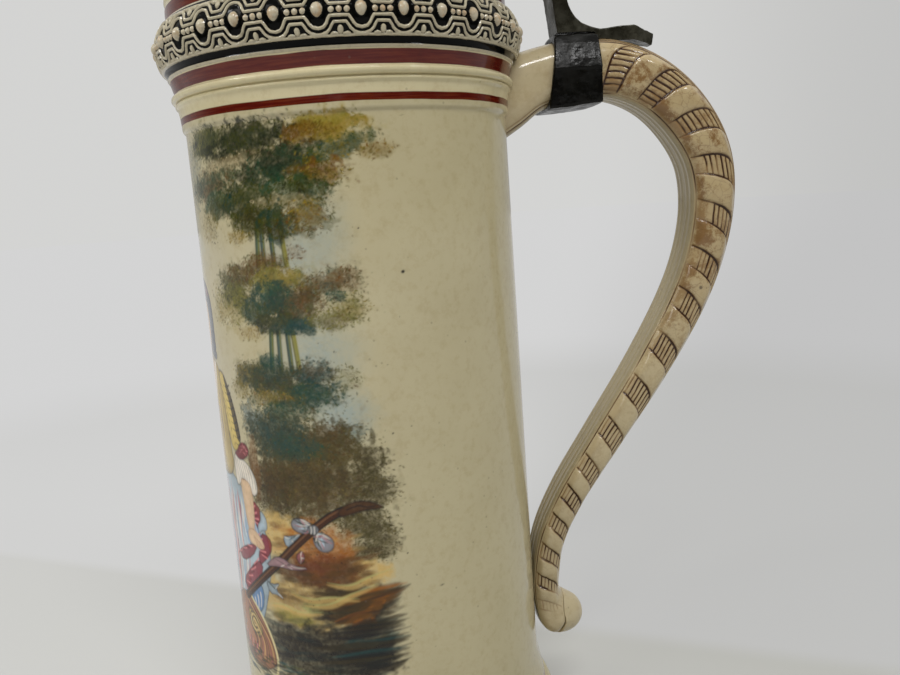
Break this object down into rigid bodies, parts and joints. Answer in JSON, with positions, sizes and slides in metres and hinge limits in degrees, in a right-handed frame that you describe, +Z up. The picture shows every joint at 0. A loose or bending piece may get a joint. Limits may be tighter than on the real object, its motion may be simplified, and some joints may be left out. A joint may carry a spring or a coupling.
{
  "type": "beer stein",
  "caption": "Tall glazed stoneware beer stein with a relief belt, a painted wall, a curved handle and a pewter-mounted lid that swings open on a hinge.",
  "frame": {"origin": "centre of the foot's flat underside, where the stein stands on the table", "axes": "+Z up along the vessel's axis; +X from the axis through the handle and the hinge; +Y completes a right-handed frame"},
  "size_m": [0.1634, 0.101, 0.267],
  "materials": {
    "cream_stoneware": "glossy cream salt glaze with fine specks and an underglaze landscape",
    "relief_glaze": "glossy black ground under raised cream relief",
    "handle_stoneware": "glossy cream glaze with a brown wash in the carved lines",
    "inlay_stoneware": "glossy cream glaze with dark red rings",
    "pewter": null,
    "pin_steel": "dull drawn steel wire",
    "plaster": "matte white plaster"
  },
  "bodies": {
    "mug": {"vessel": "cream_stoneware", "relief_belt": "relief_glaze", "handle": "handle_stoneware", "handle_strap": "pewter", "hinge_shank": "pewter", "hinge_pin": "pin_steel", "hinge_pin_caps": "pewter"},
    "lid": {"lid_tang": "pewter", "lid_rim": "pewter", "lid_underplate": "pewter", "lid_plaster_bed": "plaster", "lid_inlay": "inlay_stoneware", "thumblift": "pewter"}
  },
  "joints": [
    {"name": "lid_hinge", "type": "hinge", "parent": "mug", "child": "lid", "pos_m": [0.0575, 0, 0.234], "axis": [0, 1, 0], "range_deg": [0, 105]}
  ]
}
